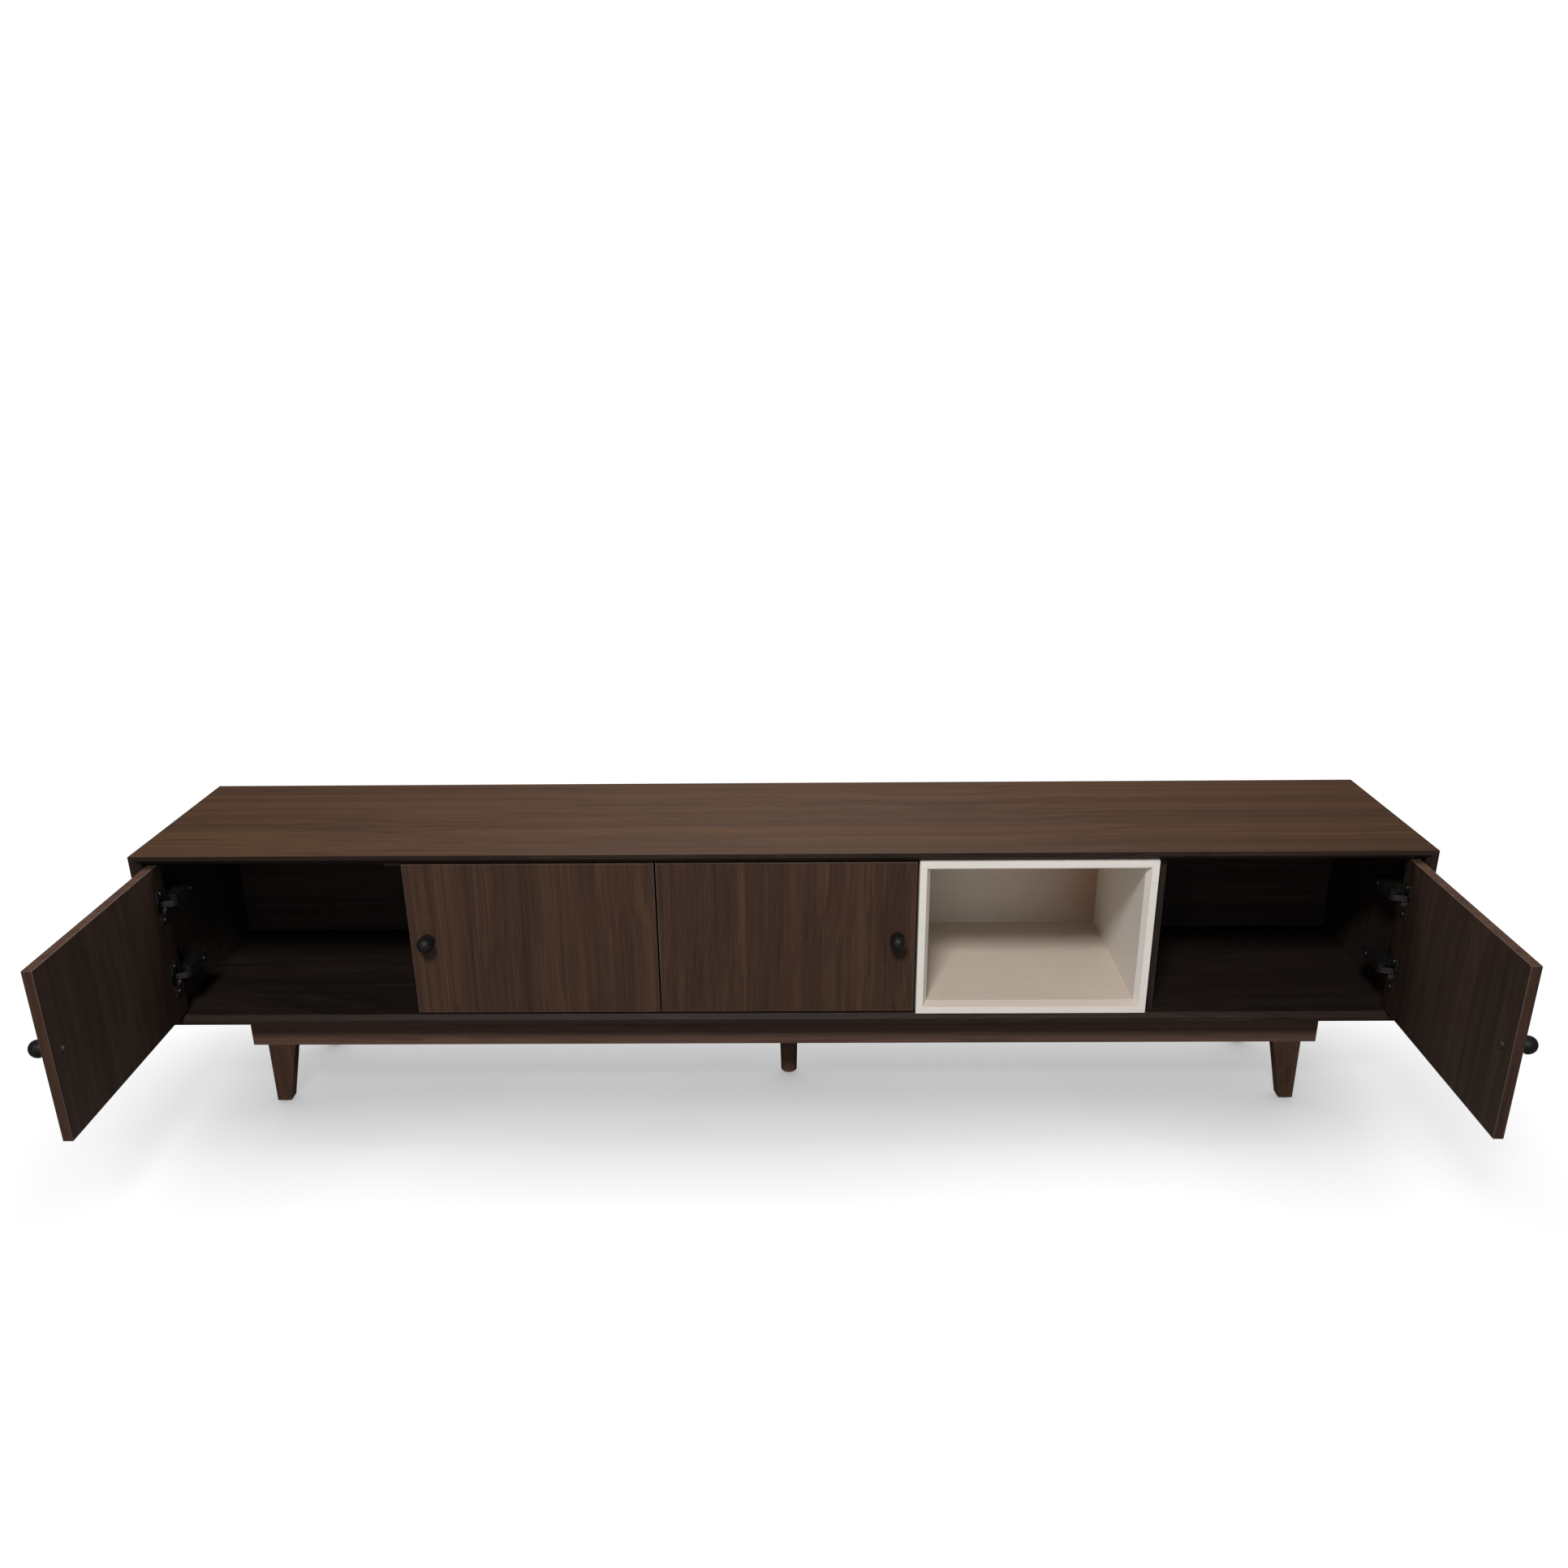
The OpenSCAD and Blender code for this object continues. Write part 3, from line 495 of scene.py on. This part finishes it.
# Faces with a finish of their own: which way they look, and the finish
FACE_FINISHES = {
    "top_panel": ((0, 0, -1), "inside_x"), "bottom_panel": ((0, 0, 1), "inside_x"),
    "left_side": ((1, 0, 0), "lit_inside_z"), "right_side": ((-1, 0, 0), "inside_z"),
    "door_1": ((1, 0, 0), "door_back"), "door_2": ((0, 1, 0), "door_back"),
    "door_3": ((0, 1, 0), "door_back"), "door_4": ((-1, 0, 0), "door_back"),
    "niche_bottom": ((0, 0, 1), "shaded_niche_floor"),
    "back_panel_left": ((0, 1, 0), "back_outside"), "back_panel_middle": ((0, 1, 0), "back_outside"),
    "back_panel_right": ((0, 1, 0), "back_outside"),
}
FRONT_EDGES = {
    "top_panel": "edge_x", "bottom_panel": "edge_x",
    "left_side": "edge_z", "right_side": "edge_z",
}


def finish_faces(piece, node, extra):
    """Gives inner faces, the outside of the back and the banded front edges a finish of their own."""
    def put(material, faces):
        piece.data.materials.append(material)
        for face in faces:
            face.material_index = len(piece.data.materials) - 1

    if node in FACE_FINISHES:
        outlook, finish = FACE_FINISHES[node]
        put(extra[finish], [f for f in piece.data.polygons if f.normal.dot(Vector(outlook)) > 0.9])
    if node in FRONT_EDGES:
        put(extra[FRONT_EDGES[node]], [f for f in piece.data.polygons if f.normal.y < -0.5])


def dress_object():
    slots, materials = make_materials()
    extra = {
        "inside_x": walnut("inside_walnut_x", "x", 41, BAY_FLOOR_TONES),
        "inside_z": walnut("inside_walnut_z", "z", 43, INSIDE_TONES),
        "lit_inside_z": walnut("lit_inside_walnut_z", "z", 45, BACK_TONES),
        "back_outside": walnut("back_outside_walnut", "x", 49, BACK_OUTSIDE_TONES, stretch=LONG_GRAIN),
        "edge_x": walnut("edge_walnut_x", "x", 47, EDGE_TONES),
        "edge_z": walnut("edge_walnut_z", "z", 53, EDGE_TONES),
        "door_back": walnut("door_back_walnut", "z", 59, DOOR_BACK_TONES),
        # Painted shade: the niche floor is a darker, browner copy of the niche's white lacquer
        "shaded_niche_floor": lacquer("niche_floor_lacquer", (0.66, 0.57, 0.485), (0.61, 0.52, 0.44), 61),
    }
    for node, shown in frame["nodes"].items():
        sizes = easing_for(node)
        if sizes:
            piece = eased_copy(node, *sizes)
            shown = piece
        shown.data.materials.clear()
        shown.data.materials.append(materials[node])
        finish_faces(shown, node, extra)


# ---------------------------------------------------------------- stage and light

WORLD_LIGHT = 0.15
FLOOR_GLOW = 0.22
OPEN_FLOOR_GLOW = 0.95
FAR_FLOOR_GLOW = 1.05
CONTACT_REACH = 0.45  # metres
CONTACT_LEAN = (0.0, 0.6, 0.8)  # the soft shade leans forwards, as if most of the light came from behind
GLOW_STARTS, GLOW_FULL = 1.5, 4.0  # metres from the middle of the floor
FLOOR_HALF = 30.0

# Name, place, aim, size and power of each lamp
LIGHTS = (
    ("front_left", (-0.4, -3.0, 3.4), (0, 0, 0.3), (0.8, 0.7), 137),
    ("front_right", (2.3, -3.1, 3.2), (0.3, 0, 0.3), (1.4, 1.4), 8),
    ("front_low", (-0.6, -4.2, 0.9), (0, 0, 0.2), (1.6, 0.5), 8),
    ("overhead", (0, 1.0, 2.6), (0, 0, 0), (2.0, 1.2), 82),
    ("rear_glow", (0, 5.0, 2.2), (0, 0, 0.5), (2.2, 0.9), 3),
)


def make_stage():
    """A pale seamless floor that reaches well past the view. It throws little light back at the object."""
    s = Shader("floor_white")
    seen = s.node("ShaderNodeLightPath").outputs["Is Camera Ray"]
    s.finish(s.mix(seen, (0.22, 0.22, 0.22, 1), (0.12, 0.12, 0.12, 1)), 0.9, specular=0.0)
    s.bsdf.inputs["Emission Color"].default_value = (1, 1, 1, 1)
    distance = s.node("ShaderNodeVectorMath", operation="LENGTH")
    s.links.new(s.place((1, 1, 1)), distance.inputs[0])
    openness = s.node("ShaderNodeAmbientOcclusion", samples=16)
    openness.inputs["Distance"].default_value = CONTACT_REACH
    lean = s.node("ShaderNodeCombineXYZ")
    for socket, value in zip(lean.inputs, CONTACT_LEAN):
        socket.default_value = value
    s.links.new(lean.outputs["Vector"], openness.inputs["Normal"])
    near = s.span(openness.outputs["AO"], 0.0, 1.0, FLOOR_GLOW, OPEN_FLOOR_GLOW)
    far = s.span(distance.outputs["Value"], GLOW_STARTS, GLOW_FULL, 0.0, FAR_FLOOR_GLOW)
    glow = s.math("MAXIMUM", near, far)
    s.wire(s.math("MULTIPLY", seen, glow), s.bsdf.inputs["Emission Strength"])
    mesh = bpy.data.meshes.new("floor")
    corners = [(x * FLOOR_HALF, y * FLOOR_HALF, 0) for x, y in ((-1, -1), (1, -1), (1, 1), (-1, 1))]
    mesh.from_pydata(corners, [], [(0, 1, 2, 3)])
    floor = bpy.data.objects.new("floor", mesh)
    floor.data.materials.append(s.material)
    bpy.context.scene.collection.objects.link(floor)


def area_light(name, place, aim, spread, power):
    data = bpy.data.lights.new(name, "AREA")
    data.shape = "RECTANGLE"
    data.size, data.size_y = spread
    data.energy = power
    light = bpy.data.objects.new(name, data)
    light.location = place
    light.rotation_euler = (Vector(aim) - Vector(place)).to_track_quat("-Z", "Y").to_euler()
    bpy.context.scene.collection.objects.link(light)


def make_light():
    """Soft studio light on a white background: the background looks white but lights the object dimly."""
    scene = bpy.context.scene
    scene.view_settings.view_transform = "Standard"
    world = bpy.data.worlds.new("world")
    scene.world = world
    world.use_nodes = True
    nodes, links = world.node_tree.nodes, world.node_tree.links
    seen = nodes.new("ShaderNodeLightPath")
    strength = nodes.new("ShaderNodeMapRange")
    strength.inputs["To Min"].default_value = WORLD_LIGHT
    strength.inputs["To Max"].default_value = 1.0
    links.new(seen.outputs["Is Camera Ray"], strength.inputs["Value"])
    links.new(strength.outputs["Result"], nodes["Background"].inputs["Strength"])
    nodes["Background"].inputs["Color"].default_value = (1, 1, 1, 1)
    for name, place, aim, spread, power in LIGHTS:
        area_light(name, place, aim, spread, power)


make_camera()
make_stage()
make_light()
dress_object()
